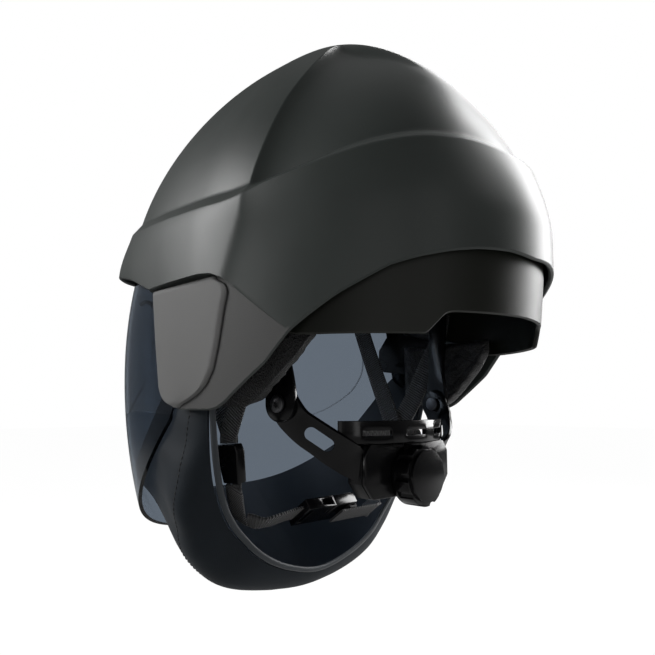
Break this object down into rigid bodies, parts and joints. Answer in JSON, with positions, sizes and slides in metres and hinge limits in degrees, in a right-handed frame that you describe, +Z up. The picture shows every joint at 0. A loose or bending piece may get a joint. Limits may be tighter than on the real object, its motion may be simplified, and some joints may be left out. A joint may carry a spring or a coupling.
{
  "type": "arc flash helmet",
  "caption": "Safety helmet with a swing-up bubble lens and fabric chin guard, a ratchet headgear and a buckled chin strap, for work near electric arcs.",
  "frame": {"origin": "on the centre plane at the level of the headband, where a head carries the helmet", "axes": "+X the wearer's left, +Y the rear, +Z up; lens closed, headgear at rest"},
  "size_m": [0.227, 0.316, 0.3653],
  "materials": {
    "shell": "satin moulded, dark green grey",
    "grained_cover": "finely grained",
    "lens": "clear, blue grey tint",
    "guard_fabric": "coated, slate grey",
    "binding": "smooth tape",
    "foam": "black foam with a fabric face",
    "webbing": "ribbed weave",
    "fastener": "dark oxide",
    "washer": "plain",
    "gloss_black": "semi gloss",
    "black_plastic": "moulded"
  },
  "bodies": {
    "helmet": {"outer_shell": "shell", "inner_shell": "shell", "impact_liner": "foam", "side_cover_left": "grained_cover", "side_cover_right": "grained_cover", "hinge_bolt_left": "fastener", "hinge_bolt_right": "fastener", "friction_washer_left": "washer", "friction_washer_right": "washer", "hinge_boss_left": "black_plastic", "hinge_boss_right": "black_plastic", "headband": "black_plastic", "sweatband": "foam", "suspension_hooks": "black_plastic", "crown_strap_under": "webbing", "crown_strap_over": "webbing", "hanger_arm_left": "gloss_black", "hanger_arm_right": "gloss_black", "hanger_screw_left": "fastener", "hanger_screw_right": "fastener", "hanger_rivets": "fastener", "ear_pad_left": "foam", "ear_pad_right": "foam", "strap_front_left": "webbing", "strap_front_right": "webbing", "strap_rear_left": "webbing", "strap_rear_right": "webbing", "strap_divider_left": "black_plastic", "strap_divider_right": "black_plastic", "strap_lower_left": "webbing", "strap_lower_right": "webbing", "chin_webbing_left": "webbing", "chin_webbing_right": "webbing", "buckle_socket": "gloss_black"},
    "visor": {"visor_lens": "lens", "visor_arm_left": "black_plastic", "visor_arm_right": "black_plastic", "lens_trim_left": "gloss_black", "lens_trim_right": "gloss_black", "chin_guard": "guard_fabric", "guard_binding": "binding"},
    "nape": {"nape_arm_left": "gloss_black", "nape_arm_right": "gloss_black", "nape_cradle": "black_plastic", "nape_pad": "foam", "ratchet_housing": "black_plastic", "ratchet_cover": "black_plastic"},
    "knob": {"ratchet_knob": "gloss_black", "pinion": "black_plastic"},
    "rack_left": {"rack_left": "black_plastic"},
    "rack_right": {"rack_right": "black_plastic"},
    "tongue": {"buckle_tongue": "gloss_black", "tongue_loop": "webbing"}
  },
  "joints": [
    {"name": "visor_hinge", "type": "hinge", "parent": "helmet", "child": "visor", "pos_m": [0, 0.008, -0.062], "axis": [-1, 0, 0], "range_deg": [0, 48]},
    {"name": "nape_tilt", "type": "hinge", "parent": "helmet", "child": "nape", "pos_m": [0, 0.0294, -0.094], "axis": [1, 0, 0], "range_deg": [-6, 10]},
    {"name": "knob_turn", "type": "hinge", "parent": "nape", "child": "knob", "pos_m": [0, 0.06, -0.134], "axis": [0, 1, 0], "range_deg": [-105, 105]},
    {"name": "rack_left_slide", "type": "slide", "parent": "nape", "child": "rack_left", "axis": [1, 0, 0], "range_m": [-0.0112, 0.0112]},
    {"name": "rack_right_slide", "type": "slide", "parent": "nape", "child": "rack_right", "axis": [1, 0, 0], "range_m": [-0.0112, 0.0112]},
    {"name": "buckle_slide", "type": "slide", "parent": "helmet", "child": "tongue", "axis": [-1, 0, 0], "range_m": [0, 0.02]}
  ],
  "couplings": [
    {"joint": "rack_left_slide", "follows": "knob_turn", "m_per_rad": 0.006},
    {"joint": "rack_right_slide", "follows": "knob_turn", "m_per_rad": -0.006}
  ]
}
